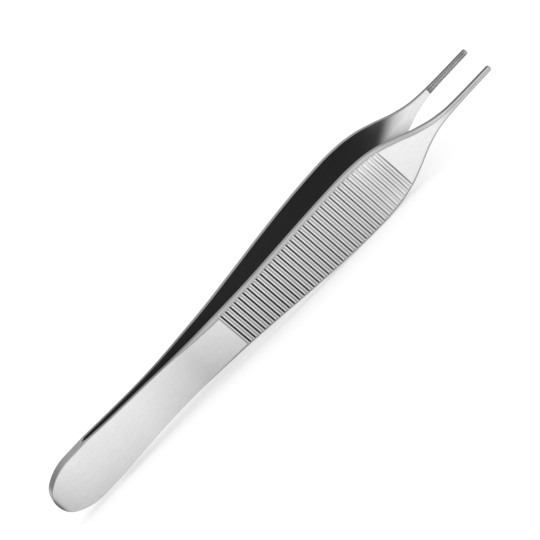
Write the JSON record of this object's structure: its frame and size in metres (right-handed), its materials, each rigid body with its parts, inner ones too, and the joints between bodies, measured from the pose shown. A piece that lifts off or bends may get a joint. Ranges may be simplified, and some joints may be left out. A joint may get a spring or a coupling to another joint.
{
  "type": "thumb forceps",
  "caption": "Thumb forceps with spring arms welded at the heel, broad ribbed grips and slim cross-serrated jaws",
  "frame": {"origin": "centre of the bounding box in X and Y, at the lowest point in Z", "axes": "+X from the heel to the tips, +Y from the middle plane to the left arm, +Z across the width of the arms, which is up as the instrument lies on its side edges"},
  "size_m": [0.1196, 0.0148, 0.0132],
  "materials": {
    "satin_steel": "satin, with polished inner faces"
  },
  "bodies": {
    "root": {"left_arm": "satin_steel", "right_arm": "satin_steel"}
  },
  "joints": []
}
